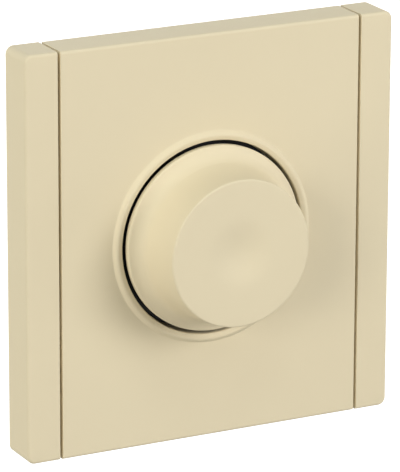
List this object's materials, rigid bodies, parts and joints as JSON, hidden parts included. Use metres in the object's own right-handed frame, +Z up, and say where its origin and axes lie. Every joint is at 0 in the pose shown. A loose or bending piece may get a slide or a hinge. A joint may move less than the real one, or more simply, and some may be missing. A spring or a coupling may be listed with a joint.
{
  "type": "rotary dimmer switch",
  "caption": "Rotary dimmer switch: a bell-shaped push knob in a square moulded plate, on a steel strap with screw slots and claws, with a boxed insert and rear terminals.",
  "frame": {"origin": "on the dial axis, in the wall plane, which is the back face of the steel strap", "axes": "+X right and +Z up as seen from the front, +Y into the wall along the dial axis"},
  "size_m": [0.0796, 0.0492, 0.082],
  "materials": {
    "ivory_plastic": "satin moulded",
    "zinc_steel": "zinc plated",
    "housing_plastic": "moulded, fine grain",
    "black_plastic": "moulded",
    "brass": "plain",
    "die_cast": "die cast",
    "aluminium": "turned",
    "laminate": "glass laminate",
    "ferrite": "sintered",
    "copper_wire": "lacquered wire",
    "capacitor_plastic": "moulded box"
  },
  "bodies": {
    "base": {"centre_plate": "ivory_plastic", "frame": "ivory_plastic", "insulating_disc": "black_plastic", "bushing_nuts": "zinc_steel", "support_strap": "zinc_steel", "claw_screws": "zinc_steel", "terminal_screws": "zinc_steel", "switch_spring": "zinc_steel", "housing_lid": "housing_plastic", "housing": "housing_plastic", "terminal_block": "black_plastic", "terminal_clamps": "brass", "fixed_contacts": "brass", "potentiometer_bushing": "die_cast", "heat_sink": "aluminium", "potentiometer_case": "zinc_steel", "resistor_wafer": "laminate", "circuit_board": "laminate", "switch_case": "black_plastic", "choke_core": "ferrite", "choke_winding": "copper_wire", "suppression_capacitor": "capacitor_plastic", "timing_capacitor": "capacitor_plastic", "triac": "black_plastic", "diac": "black_plastic", "resistors": "black_plastic"},
    "rotor": {"wiper_rotor": "black_plastic", "wiper_contact": "brass"},
    "dial": {"knob": "ivory_plastic", "shaft": "aluminium", "shaft_clip": "zinc_steel"},
    "plunger": {"switch_plunger": "housing_plastic", "contact_bridge": "brass"},
    "left_claw": {"left_claw": "zinc_steel"},
    "right_claw": {"right_claw": "zinc_steel"}
  },
  "joints": [
    {"name": "dial_turn", "type": "hinge", "parent": "base", "child": "rotor", "pos_m": [0, 0, 0], "axis": [0, 1, 0], "range_deg": [-135, 135]},
    {"name": "knob_push", "type": "slide", "parent": "rotor", "child": "dial", "axis": [0, 1, 0], "range_m": [0, 0.0012], "stiffness_N_per_m": 900, "springref_m": -0.003},
    {"name": "plunger_travel", "type": "slide", "parent": "base", "child": "plunger", "axis": [0, 1, 0], "range_m": [0, 0.0012], "deforming": ["switch_spring"]},
    {"name": "left_claw_swing", "type": "hinge", "parent": "base", "child": "left_claw", "pos_m": [-0.0242, 0.0026, 0], "axis": [0, 0, 1], "range_deg": [0, 20]},
    {"name": "right_claw_swing", "type": "hinge", "parent": "base", "child": "right_claw", "pos_m": [0.0242, 0.0026, 0], "axis": [0, 0, -1], "range_deg": [0, 20]}
  ],
  "couplings": [
    {"joint": "plunger_travel", "follows": "knob_push", "ratio": 1}
  ]
}
